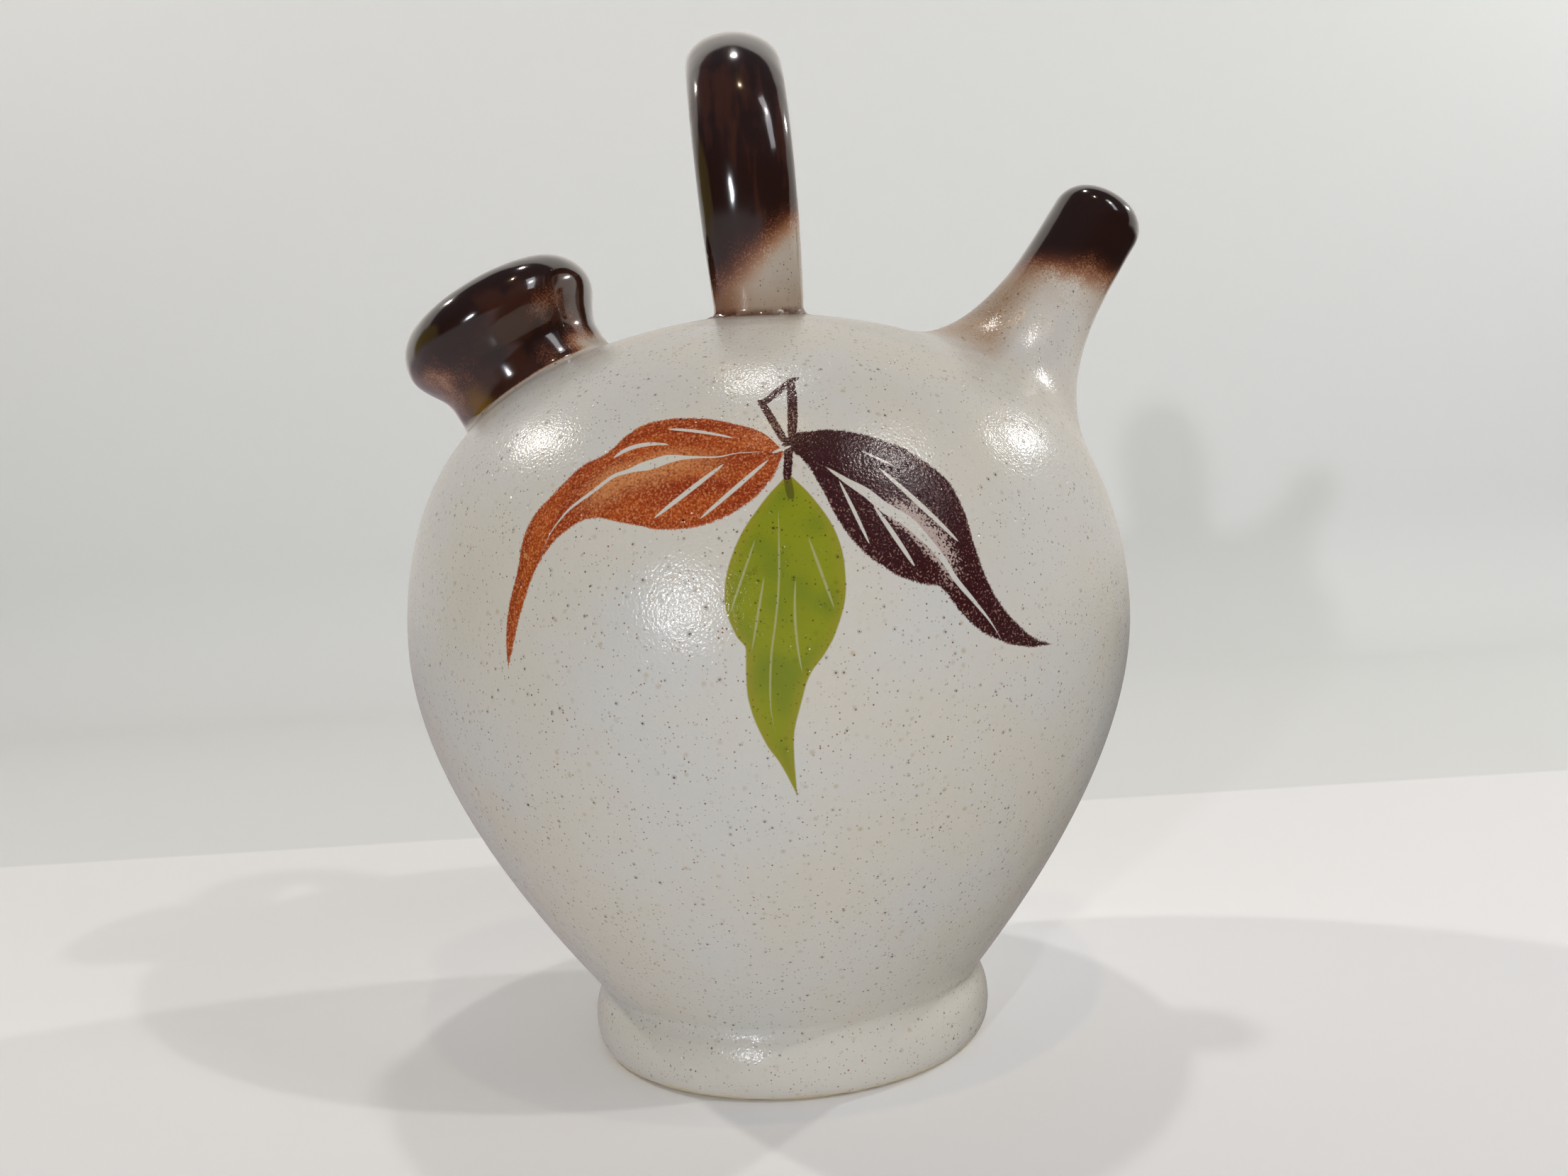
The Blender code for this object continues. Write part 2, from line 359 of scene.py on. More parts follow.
def makeField():
    # the jug as one smooth signed distance: forms joined, then the hollow and both bores taken out;
    # a reach is a table's lowest and highest (radius, height), and the bare numbers are the spacing
    # of a line's points, how far its corners are rounded, and its table's step
    bodyReach = (0, -12), (125, 270)
    mouthReach = (0, -30), (60, 60)
    spoutReach = (0, -30), (60, 80)
    body = signedTable(smoothLine(bodyLine(), 0.5, 0.9), *bodyReach, 0.5)
    cavity = signedTable(smoothLine(cavityLine(), 1.0, 3.0), *bodyReach, 1.0)
    mouth = signedTable(smoothLine(mouthLine(), 0.4, 0.6), *mouthReach, 0.25)
    mouthBore = signedTable(mouthBoreLine(), *mouthReach, 0.5)
    spout = signedTable(smoothLine(spoutLine(), 0.4, 0.5), *spoutReach, 0.25)
    spoutBore = signedTable(smoothLine(spoutBoreLine(), 0.5, 0.8), *spoutReach, 0.5)
    strap = strapDistance(*handleCentre(count=60))
    mouthSeat = seat(mouthShape)
    spoutSeat = seat(spoutShape)
    far = 40.0  # the largest distance that is kept of the strap, also across it
    strapSide = 70.0  # how far it stays within to front and back
    strapFoot = 140.0  # and above which height

    def forms(p):
        # distances to body, mouth, spout and strap; the strap's is worked out only near it
        away = np.hypot(p[:, 0], p[:, 1])
        toStrap = np.full(len(p), far)
        near = (np.abs(p[:, 0]) < far) & (p[:, 2] > strapFoot) & (np.abs(p[:, 1]) < strapSide)
        toStrap[near] = np.minimum(strap(p[near]), far)
        return (body(away, p[:, 2]), mouth(*aroundAxis(p, *mouthSeat)),
                spout(*aroundAxis(p, *spoutSeat)), toStrap)

    def field(p):
        # the joined forms' skin, less the hollow with its two bores
        toBody, toMouth, toSpout, toStrap = forms(p)
        skin = smoothMin(toBody, toMouth, jointWidth["mouth"])
        skin = smoothMin(skin, toSpout, jointWidth["spout"])
        skin = smoothMin(skin, toStrap, jointWidth["handle"])
        hollow = cavity(np.hypot(p[:, 0], p[:, 1]), p[:, 2])
        hollow = smoothMin(hollow, mouthBore(*aroundAxis(p, *mouthSeat)), jointWidth["mouthBore"])
        hollow = smoothMin(hollow, spoutBore(*aroundAxis(p, *spoutSeat)), jointWidth["spoutBore"])
        return smoothMax(skin, -hollow, jointWidth["rims"])

    return field, forms


# Grid lines along each axis: first and last place, then (place, spacing) stops
gridLines = {
    "x": (-94.1, 104.3, [(-94, 2.0), (-20, 2.0), (-14, 1.5), (14, 1.5), (20, 2.0), (70, 1.8), (80, 1.3),
                         (104, 1.2)]),
    "y": (-93.7, 93.9, [(-94, 2.0), (-32, 2.0), (-12, 1.5), (12, 1.5), (32, 2.0), (94, 2.0)]),
    "z": (-3.3, 256.1, [(-4, 1.6), (3, 1.6), (20, 2.4), (150, 2.6), (165, 1.6), (256, 1.6)]),
}


def unevenLines(low, high, stops):
    # grid lines whose spacing follows the stops: one wherever the running sum of step / spacing
    # passes a whole number
    fine = np.linspace(low, high, 4000)
    spacing = np.interp(fine, [s[0] for s in stops], [s[1] for s in stops])
    steps = (fine[1:] - fine[:-1]) / (0.5 * (spacing[1:] + spacing[:-1]))
    count = np.concatenate([[0.0], np.cumsum(steps)])
    return np.interp(np.arange(0, int(count[-1]) + 1), count, fine)


def surfaceNet(field, xs, ys, zs):
    # one point in each grid cell that the surface crosses, at the mean of its edge crossings,
    # and one quad round each grid edge that the surface crosses
    shape = (len(xs), len(ys), len(zs))
    value = np.empty(shape)
    gridY, gridZ = np.meshgrid(ys, zs, indexing="ij")
    y, z = gridY.ravel(), gridZ.ravel()
    for i, x in enumerate(xs):
        value[i] = field(np.stack([np.full(len(y), x), y, z], 1)).reshape(gridY.shape)
    solid = value < 0
    corners = [(a, b, c) for a in (0, 1) for b in (0, 1) for c in (0, 1)]
    nx, ny, nz = (size - 1 for size in shape)
    count = sum(solid[a:nx + a, b:ny + b, c:nz + c].astype(int) for a, b, c in corners)
    cells = np.argwhere((count > 0) & (count < len(corners)))
    number = np.full(count.shape, -1)
    number[tuple(cells.T)] = np.arange(len(cells))
    total = np.zeros((len(cells), 3))
    hits = np.zeros(len(cells))
    lines = (xs, ys, zs)
    for corner in corners:
        for k in range(3):
            if corner[k]:
                continue
            first = cells + np.array(corner)
            second = first.copy()
            second[:, k] += 1
            va = value[tuple(first.T)]
            vb = value[tuple(second.T)]
            cross = (va < 0) != (vb < 0)
            t = np.where(cross, va / np.where(cross, va - vb, 1), 0)
            place = np.stack([lines[j][first[:, j]] for j in range(3)], 1)
            place[:, k] += (lines[k][second[:, k]] - lines[k][first[:, k]]) * t
            total += np.where(cross[:, None], place, 0)
            hits += cross
    points = total / hits[:, None]
    quads = []
    for k in range(3):
        i1, i2 = [j for j in range(3) if j != k]
        first = [slice(None)] * 3
        second = [slice(None)] * 3
        first[k] = slice(0, -1)
        second[k] = slice(1, None)
        a = solid[tuple(first)]
        edge = np.argwhere(a != solid[tuple(second)])
        flip = a[tuple(edge.T)]
        ring = []
        for d1, d2 in ((-1, -1), (0, -1), (0, 0), (-1, 0)):
            cell = edge.copy()
            cell[:, i1] += d1
            cell[:, i2] += d2
            ring.append(number[tuple(cell.T)])
        ring = np.stack(ring, 1)
        if k == 1:
            flip = ~flip
        ring[~flip] = ring[~flip][:, ::-1]
        quads.append(ring)
    return points, np.concatenate(quads)


def slope(field, p, reach=0.25):
    # the field's gradient by central differences
    g = np.empty_like(p)
    for k in range(3):
        step = np.zeros(3)
        step[k] = reach
        g[:, k] = (field(p + step) - field(p - step)) / (2 * reach)
    return g


def settle(field, points, quads, rounds):
    # each point slides six tenths of the way to the mean of its neighbours, within the surface, and
    # then back onto it, by 1 mm at most
    ends = np.concatenate([quads[:, [i, (i + 1) % 4]] for i in range(4)])
    n = len(points)
    degree = np.bincount(ends[:, 0], minlength=n) + np.bincount(ends[:, 1], minlength=n)
    for turn in range(rounds + 1):
        g = slope(field, points)
        size = np.linalg.norm(g, axis=1, keepdims=True) + 1e-9
        normal = g / size
        if 0 < turn < rounds:
            mean = np.stack([np.bincount(ends[:, 0], points[ends[:, 1], k], n)
                             + np.bincount(ends[:, 1], points[ends[:, 0], k], n) for k in range(3)], 1)
            move = mean / degree[:, None] - points
            move -= normal * (move * normal).sum(1, keepdims=True)
            points = points + 0.6 * move
        points = points - normal * np.clip(field(points)[:, None] / size, -1.0, 1.0)
    return points


# Where the painted sprig is measured from: u round the belly and v up the wall, in mm
def sprigPlace(points):
    # u = belly radius times the angle from the front, v = length along the outline from the belly
    b = bodyShape
    dome = domeCurve(b["bellyRadius"], b["crownRise"], np.linspace(0, math.pi / 2, 400))
    flank = flankCurve(b["bellyRadius"], b["waistRadius"], b["footHeight"], np.linspace(0, 1, 400))
    heights = np.concatenate([flank[::-1, 1], dome[1:, 1]])
    lengths = np.concatenate([-runAlong(flank)[::-1], runAlong(dome)[1:]])
    v = np.interp(points[:, 2], heights, lengths)
    u = b["bellyRadius"] * np.arctan2(points[:, 0], -points[:, 1])
    return np.stack([u, v, np.zeros(len(points))], 1)


def meshObject(name, points, faces, material):
    # points in mm and quads into one smooth mesh
    mesh = bpy.data.meshes.new(name)
    mesh.from_pydata((points * metre).tolist(), [], faces.tolist())
    mesh.polygons.foreach_set("use_smooth", np.ones(len(faces), bool))
    mesh.materials.append(material)
    made = bpy.data.objects.new(name, mesh)
    bpy.context.scene.collection.objects.link(made)
    return made


def makeJug(material):
    # the net of the field's zero surface, settled onto it, with the field's own slope as its normals
    field, forms = makeField()
    points, quads = surfaceNet(field, *(unevenLines(*gridLines[k]) for k in "xyz"))
    points = settle(field, points, quads, rounds=5)
    jug = meshObject("stonewareJug", points, quads, material)
    normals = slope(field, points)
    normals /= np.linalg.norm(normals, axis=1, keepdims=True) + 1e-9
    jug.data.normals_split_custom_set_from_vertices(normals.tolist())
    # what the glaze is laid out by: mm from each form, and the sprig's own place on the wall
    for name, values in zip(("aboveBody", "fromMouth", "fromSpout", "fromHandle"), forms(points)):
        jug.data.attributes.new(name, "FLOAT", "POINT").data.foreach_set("value", values.astype(np.float32))
    place = jug.data.attributes.new("sprigPlace", "FLOAT_VECTOR", "POINT")
    place.data.foreach_set("vector", sprigPlace(points).astype(np.float32).ravel())
    return jug


def linear(hexColour):
    # sRGB hex to the linear colour that Blender's sockets take
    parts = [int(hexColour[i:i + 2], 16) / 255 for i in (1, 3, 5)]
    return [p / 12.92 if p <= 0.04045 else ((p + 0.055) / 1.055) ** 2.4 for p in parts] + [1.0]


def node(tree, kind, *inputs, **settings):
    # adds one node with its settings, then its inputs in order, or by name in one dictionary;
    # an input is a value, a node, which means its first output, or a (node, output) pair
    made = tree.nodes.new(kind if kind.startswith("Node") else "ShaderNode" + kind)
    for name, value in settings.items():
        setattr(made, name, value)
    sockets = [s for s in made.inputs if s.enabled]
    named = inputs[0] if inputs and isinstance(inputs[0], dict) else dict(enumerate(inputs))
    for key, value in named.items():
        socket = sockets[key] if isinstance(key, int) else made.inputs[key]
        if isinstance(value, bpy.types.Node):
            tree.links.new(next(o for o in value.outputs if o.enabled), socket)
        elif isinstance(value, tuple) and isinstance(value[0], bpy.types.Node):
            tree.links.new(value[0].outputs[value[1]], socket)
        else:
            socket.default_value = value
    return made


# settings that many nodes share
asColour = {"data_type": "RGBA"}
asFloat = {"data_type": "FLOAT"}
soft = {"interpolation_type": "SMOOTHSTEP"}
plus = {"operation": "ADD"}
minus = {"operation": "SUBTRACT"}
times = {"operation": "MULTIPLY"}
timesPlus = {"operation": "MULTIPLY_ADD"}
larger = {"operation": "MAXIMUM"}
dot = {"operation": "DOT_PRODUCT"}


def newGroup(name, inputs, outputs):
    # an empty node group with float inputs, and outputs given as (name, kind)
    tree = bpy.data.node_groups.new(name, "ShaderNodeTree")
    for label in inputs:
        tree.interface.new_socket(label, in_out="INPUT", socket_type="NodeSocketFloat")
    for label, kind in outputs:
        tree.interface.new_socket(label, in_out="OUTPUT", socket_type=kind)
    return tree, node(tree, "NodeGroupInput")


def curveThrough(tree, value, stops, low, high):
    # a smooth curve through (place, height) stops, with heights between low and high
    made = node(tree, "FloatCurve", 1.0, value)
    line = made.mapping.curves[0]
    while len(line.points) < len(stops):
        line.points.new(0.5, 0.5)
    for point, (place, height) in zip(line.points, stops):
        point.location = (place, (height - low) / (high - low))
        point.handle_type = "AUTO_CLAMPED"
    made.mapping.update()
    return node(tree, "MapRange", made, 0.0, 1.0, low, high)


# The painted sprig: three leaves on a looped stem. Each leaf has a base and a tip in (u, v) mm. Its
# edges and midrib are (share of its length, mm to the left of the line from base to tip); its veins
# are strokes (from share, from mm, to share, to mm, bend, width).
sprig = {
    "rust": {
        "base": (5.2, 39.0),
        "tip": (-57.0, -2.0),
        "right": [(0, 0), (.011, -6.0), (.06, -11.7), (.16, -19.5), (.283, -24.9), (.34, -25.5),
                  (.43, -24.4), (.51, -25.4), (.626, -24.1), (.727, -22.1), (.831, -14.4), (.904, -9.7),
                  (.972, -3.6), (1, 0)],
        "left": [(0, 0), (.077, 3.1), (.177, 4.2), (.273, 3.1), (.38, -.9), (.478, -8.1), (.554, -13.3),
                 (.64, -14.5), (.738, -13.0), (.86, -7.4), (.955, -2.2), (1, 0)],
        "midrib": [(.056, -3.2), (.116, -6.1), (.154, -7.4), (.223, -11.1), (.277, -13.8), (.327, -15.1),
                   (.389, -16.9), (.455, -18.3), (.516, -18.2), (.578, -18.3), (.637, -17.6),
                   (.687, -16.2), (.74, -13.4)],
        "ribWidth": [(.05, .3), (.15, .5), (.22, .9), (.327, 2.6), (.4, 1.2), (.55, .9), (.74, .1)],
        "veins": [(.259, -16.8, .418, -22.1, -1.6, 1.3), (.237, -20.2, .092, -9.2, -.6, 1.2),
                  (.159, -5.6, .398, -4.9, 0, 1.2), (.05, -.7, .297, .9, 0, 1.1)],
    },
    "green": {
        "base": (5.6, 34.0),
        "tip": (3.6, -30.1),
        "right": [(0, -.5), (.091, -5.9), (.228, -11.4), (.373, -13.4), (.482, -11.4), (.528, -9.6),
                  (.597, -9.7), (.67, -9.5), (.815, -6.3), (.876, -3.8), (1, 0)],
        "left": [(0, .5), (.08, 5.0), (.2, 9.2), (.333, 10.2), (.477, 8.0), (.54, 5.8), (.606, 2.7),
                 (.675, 1.2), (.818, -.6), (1, 0)],
        "midrib": [(.12, -2.4), (.232, -2.6), (.341, -2.9), (.455, -3.8), (.534, -4.6), (.613, -5.0),
                   (.687, -5.1), (.794, -4.1)],
        "ribWidth": [(.1, .2), (.3, .6), (.6, .6), (.8, .1)],
        "veins": [(.197, -7.1, .419, -12.3, 0, .7), (.311, -5.6, .528, -8.3, 0, .7),
                  (.32, .4, .598, 1.1, -.7, .7), (.198, 3.2, .414, 7.6, 0, .8)],
    },
    "brown": {
        "base": (5.2, 40.6),
        "tip": (63.0, -4.1),
        "left": [(0, 3.5), (.103, 9.7), (.223, 13.4), (.336, 15.0), (.449, 14.4), (.529, 11.0), (.607, 5.5),
                 (.688, 1.0), (.742, -.9), (.815, -2.1), (.887, -2.2), (1, 0)],
        "right": [(0, -.3), (.067, -.6), (.159, -3.8), (.255, -7.8), (.347, -9.8), (.409, -10.0),
                  (.52, -8.4), (.572, -6.7), (.661, -8.3), (.72, -8.8), (.77, -8.5), (.9, -5.2), (1, 0)],
        "midrib": [(.141, .9), (.2, .8), (.264, 1.0), (.332, .5), (.396, .8), (.468, 0), (.549, -1.6),
                   (.596, -3.1), (.682, -4.6), (.755, -5.8), (.814, -7.2)],
        "ribWidth": [(.13, .3), (.2, 1.4), (.3, 2.4), (.4, 2.6), (.5, 1.8), (.65, 1.2), (.8, .3)],
        "veins": [(.198, 8.5, .304, 9.7, 0, .7), (.266, 7.3, .56, 3.7, 0, 1.3),
                  (.187, -.1, .344, -7.6, 0, 1.1), (.303, -.5, .481, -6.1, 0, 1.3)],
    },
    # strokes (from v, from u, to v, to u, bend, width); the last one shows through the green
    "stem": [(58.0, 9.4, 50.8, 0.9, 0, 3.0), (52.4, 0.8, 41.2, 5.6, 0, 2.3),
             (58.4, 8.9, 42.6, 7.2, .3, 2.6), (58.8, 10.7, 56.4, 7.6, 0, 2.6),
             (41.2, 6.4, 33.0, 5.2, 0, 2.1)],
    "stemOnGreen": (34.4, 5.2, 29.0, 5.7, 0, 1.9),
    # a bare sliver between the leaves' bases (from u, from v, to u, to v, bend, width)
    "notch": (2.6, 39.0, 6.8, 40.3, 0, 0.9),
    # how much each kind of stroke narrows to its ends: 0 is blunt, 1 a long point
    "taper": {"vein": 0.4, "stem": 0.12, "stemOnGreen": 0.15, "notch": 0.3},
    "edge": 0.2,  # mm over which the edge of a stroke fades
}


def makeStroke():
    # a stroke from (t0, c0) to (t1, c1): s runs 0 to 1 along it, its line bows by bend 4s(1-s), and
    # it is width (4s(1-s))^taper wide, with a soft edge
    tree, given = newGroup("brushStroke", ("t", "c", "t0", "c0", "t1", "c1", "bend", "width", "taper"),
                           [("mask", "NodeSocketFloat")])
    add = partial(node, tree)
    s = add("MapRange", (given, "t"), (given, "t0"), (given, "t1"), 0.0, 1.0)
    bow = add("Math", s, add("Math", 1.0, s, **minus), **times)
    bow = add("Math", bow, 4.0, **times)
    line = add("MapRange", s, 0.0, 1.0, (given, "c0"), (given, "c1"))
    line = add("Math", bow, (given, "bend"), line, **timesPlus)
    away = add("Math", add("Math", (given, "c"), line, **minus), operation="ABSOLUTE")
    wide = add("Math", bow, (given, "taper"), operation="POWER")
    wide = add("Math", wide, (given, "width"), **times)
    within = add("Math", add("Math", wide, 0.5, **times), away, **minus)
    add("NodeGroupOutput", add("MapRange", within, 0.0, sprig["edge"], 0.0, 1.0, **soft))
    return tree


def makeLeaf(name, leaf, stroke):
    # within its two edges, and not on a vein: inside = mm in from the nearer edge, veins = 0 to 1,
    # along = share of the way from base to tip, besideRib = mm to the left of the midrib
    reach = 30.0  # mm to either side that the curves of the edges can hold
    widestRib = 6.0
    squareEnd = 0.4  # mm behind the base, where both edges are cut off
    ribEnd = 0.01  # share of the leaf over which the midrib starts and ends
    outputs = [(label, "NodeSocketFloat") for label in ("inside", "veins", "along", "besideRib")]
    tree, given = newGroup(name + "Leaf", ("u", "v"), outputs)
    add = partial(node, tree)
    base = np.array(leaf["base"])
    way = np.array(leaf["tip"]) - base
    length = float(np.hypot(*way))
    way = way / length
    place = add("CombineXYZ", (given, "u"), (given, "v"), 0.0)
    place = add("VectorMath", place, (*base, 0.0), **minus)
    t = add("VectorMath", place, (*(way / length), 0.0), **dot)
    c = add("VectorMath", place, (-way[1], way[0], 0.0), **dot)
    left = add("Math", curveThrough(tree, t, leaf["left"], -reach, reach), c, **minus)
    right = add("Math", c, curveThrough(tree, t, leaf["right"], -reach, reach), **minus)
    inside = add("Math", left, right, operation="MINIMUM")
    fromBase = add("Math", add("Math", t, length, **times), squareEnd, **plus)
    inside = add("Math", inside, fromBase, operation="MINIMUM")
    # the midrib follows its own curve, and ends where its width does
    ribs = leaf["midrib"]
    beside = add("Math", c, curveThrough(tree, t, ribs, -reach, reach), **minus)
    half = add("Math", curveThrough(tree, t, leaf["ribWidth"], 0.0, widestRib), 0.5, **times)
    within = add("Math", half, add("Math", beside, operation="ABSOLUTE"), **minus)
    mask = add("MapRange", within, 0.0, sprig["edge"], 0.0, 1.0, **soft)
    starts = add("MapRange", t, ribs[0][0] - ribEnd, ribs[0][0] + ribEnd, 0.0, 1.0)
    ends = add("MapRange", t, ribs[-1][0] - ribEnd, ribs[-1][0] + ribEnd, 1.0, 0.0)
    mask = add("Math", mask, add("Math", starts, ends, **times), **times)
    for vein in leaf["veins"]:
        one = add("Group", t, c, *map(float, vein), sprig["taper"]["vein"], node_tree=stroke)
        mask = add("Math", mask, one, **larger)
    add("NodeGroupOutput", inside, mask, t, beside)
    return tree


def makeSpeckle():
    # dots scattered through the glaze: a share of the cells, spacing mm wide, holds a dot each, of up
    # to radius mm and 0.35 to 1 strong by the cell's random colour, with an edge as soft as given
    tree, given = newGroup("speckle", ("spacing", "radius", "share", "edge"), [("mask", "NodeSocketFloat")])
    add = partial(node, tree)
    p = add("VectorMath", {0: (add("TexCoord"), "Object"), "Scale": 1 / metre}, operation="SCALE")
    perMm = add("Math", 1.0, (given, "spacing"), operation="DIVIDE")
    cell = add("TexVoronoi", {"Vector": p, "Scale": perMm})
    lot = add("SeparateColor", (cell, "Color"))
    empty = add("Math", 1.0, (given, "share"), **minus)
    size = add("MapRange", (lot, "Red"), empty, 1.0, 0.0, (given, "radius"))
    away = add("Math", (cell, "Distance"), (given, "spacing"), **times)
    mask = add("MapRange", add("Math", size, away, **minus), 0.0, (given, "edge"), 0.0, 1.0)
    strength = add("MapRange", (lot, "Green"), 0.0, 1.0, 0.35, 1.0)
    add("NodeGroupOutput", add("Math", mask, strength, **times))
    return tree


# The span that holds nearly all values of a noise
noiseSpan = (0.3, 0.7)

# Underglaze colours of the sprig. They were sponged on through a stencil and lie under the satin, so
# they are grainy and thin in places, and shine as the ground does.
paint = {
    "rust": "#a64b1d",
    "rustPale": "#bf7d4e",
    "rustDeep": "#8f3617",
    "rustGrainPale": "#ca8c5a",
    "rustGrainDark": "#6c2c14",
    "green": "#828818",
    "greenDeep": "#717d1b",
    "greenEdge": "#8c8726",
    "greenVein": "#a3a070",
    "brown": "#361719",
    "brownGrain": "#8a6a60",
    # whitish where the brown leaf is sponged thin, and whiter still as a painted sheen: the window's
    # reflection on the satin
    "brownWornAndSheen": "#b8a69e",
    # the sponge's grain is 0.3 mm in the real paint, and drawn 0.45 mm so that it shows
    "grain": 0.45,
    "ragged": 0.25,  # mm by which the grain frays an edge
    "edge": 0.3,  # mm over which an edge fades
    # where a leaf is thin beside its midrib: centre and fade as shares of its length, then mm to the
    # left and to the right of the midrib between which it fades in
    "rustThin": {"centre": 0.36, "fade": (0.25, 0.08), "left": (7.0, 1.0), "right": (-4.0, 0.0),
                 "most": 1.0},
    # on the brown leaf this thin place also carries a painted sheen, the window's reflection on the satin
    "brownThinAndSheen": {"centre": 0.46, "fade": (0.2, 0.04), "left": (6.6, 1.0), "right": (-3.6, -0.4),
                  "most": 0.33},
    "drops": (3.4, 0.8, 0.6, 0.2),  # pale drops on the rust: spacing, radius, share, edge
}

# Glazed stoneware: buff clay, thrown, dipped in a pale glaze that is matted by fine crystals, and
# sprayed with a brown iron glaze on mouth, handle and spout's tip. In the satin a lamp spreads to a
# soft bright patch, and nothing of the room is seen. The brown is a clear glass that mirrors lamps,
# window and table sharply. Iron in the clay burns through both in freckles.
glaze = {
    "pale": "#c6c3bb",
    "paleWarm": "#c6bfb1",
    "paleCool": "#c2c2bf",
    "clouds": 34.0,  # mm across, warm and cool, and how far they are evened out
    "cloudsEven": 0.45,
    "freckle": "#9d7254",
    "blotch": "#e6d8c4",
    "ironSpot": "#79553f",
    # colour, spacing in mm, radius in mm, share of the cells, softness in mm
    "dots": [("blotch", 2.2, 0.8, 0.8, 0.6), ("freckle", 0.82, 0.25, 1.0, 0.08),
             ("ironSpot", 1.7, 0.33, 0.6, 0.1)],
    "footPale": "#cdc9bf",
    "footLine": (17.0, 12.0),  # heights between which the foot's paler glaze fades in
    "bareClay": "#cfc2a6",
    "bareEdge": (1.7, 1.1),  # heights between which the glaze is wiped off
    # brown spray adrift: mm that it reaches from each root, and how much of it there is
    "haze": "#997857",
    "drift": {"fromHandle": (9.0, 0.5), "fromMouth": (6.0, 0.45), "fromSpout": (9.0, 0.12)},
    # and down the spout's inner side: mm across its axis, mm that it reaches, how much
    "innerDrift": ((-1.0, -11.0), 9.0, 0.88),
    "handlePale": "#ada294",
    "handleRoot": (11.0, 1.0),  # mm above the body between which the handle's foot darkens
    "rootHaze": 0.4,
    "brown": "#23130f",
    "brownRed": "#4c291b",
    "fadeOrange": "#85573d",
    "fadeTan": "#a98a70",
    # the brown's colour by its thickness
    "brownStops": [(0.0, "fadeTan"), (0.25, "fadeTan"), (0.46, "fadeOrange"), (0.62, "brownRed"),
                   (0.8, "brown"), (1.0, "brown")],
    "streaks": (2.2, 14.0, 18.0),  # mm of the handle's streaks along X, Y and Z
    "brownClouds": 15.0,
    "mistWander": 7.0,  # mm from one bay of the mist's edge to the next
    # heights between which the spout's brown fades in, with a thin tail under it, both tilted
    "spoutFade": (200.5, 215.5),
    "spoutTail": (190.0, 208.0),
    "spoutTailMost": 0.2,
    "spoutTilt": 0.25,
    # height at which the handle's brown is nearly full, mm of its fade at the left and right, tilt
    "handleDark": 196.2,
    "handleFade": (22.0, 12.0),
    "handleTilt": -0.685,
    "veil": (5.0, -7.0),  # X between which a thin veil of brown reaches down to the handle's root
    "veilMost": 0.5,
    # mm across the mouth's axis, and up it, between which its neck is left bare towards the handle
    "neckBareSide": (14.0, 21.0),
    "neckBareRise": (5.0, -1.0),
    # where the brown glaze lies thinner: place, reach in mm, how much thinner
    "thinPatches": [(-76, -13, 166, 19, .56), (-80, -12, 170, 13, .4), (-50, -17, 186, 12, .38),
                    (-43, -13, 183, 12, .42), (-48, -19, 173, 9, .42), (-43, -15, 176, 8, .6),
                    (-60, 22, 178, 14, .3)],
    "amber": "#6b4710",
    "amberPatches": [(-67.6, -16.9, 162.6, 7, 1.0)],
    "pool": (2.2, 0.9),  # mm from the handle's joint between which pooled glaze darkens
    "poolMost": 0.8,
    "satinRoughness": 0.21,
    "glossRoughness": 0.13,
    "clayRoughness": 0.8,
    "mirrorRoughness": 0.06,
    "baseSpecular": 0.36,
    "strapGloss": 0.85,  # the pale part of the strap is nearly as glossy, the spout's stem hardly
    "stemGloss": 0.1,
    # the satin's grain is 0.15 mm in the real glaze, and drawn 0.6 mm so that it shows; pinholes are
    # up to 0.7 mm wide in the real one and up to 1.3 mm here; only the gloss shows the slow waves
    "ripple": 0.6,
    "rippleHeight": 0.09,
    "pits": (1.7, 0.65, 0.6, 0.3),
    "pitHeight": -0.22,
    "waves": 9.0,
    "waveHeight": 0.25,
}


def groundColour(add, p, z):
    # pale glaze in warm and cool clouds, thinner and yellower on the foot
    g = glaze
    clouds = add("TexNoise", {"Vector": p, "Scale": 1 / g["clouds"], "Detail": 3.0, "Roughness": 0.55})
    warm = add("MapRange", clouds, 0.35, 0.65, 0.0, 1.0, **soft)
    colour = add("Mix", warm, linear(g["paleCool"]), linear(g["paleWarm"]), **asColour)
    colour = add("Mix", g["cloudsEven"], colour, linear(g["pale"]), **asColour)
    foot = add("MapRange", z, *g["footLine"], 0.0, 1.0, **soft)
    return add("Mix", foot, colour, linear(g["footPale"]), **asColour)


def thinPlace(add, leaf, thin):
    # a soft place beside the midrib: it fades out along the leaf by the distance from its centre, and
    # to the left and right of the midrib
    middle = add("Math", add("Math", (leaf, "along"), thin["centre"], **minus), operation="ABSOLUTE")
    middle = add("MapRange", middle, *thin["fade"], 0.0, thin["most"], **soft)
    left = add("MapRange", (leaf, "besideRib"), *thin["left"], 0.0, 1.0, **soft)
    right = add("MapRange", (leaf, "besideRib"), *thin["right"], 0.0, 1.0, **soft)
    return add("Math", add("Math", left, right, **times), middle, **times)


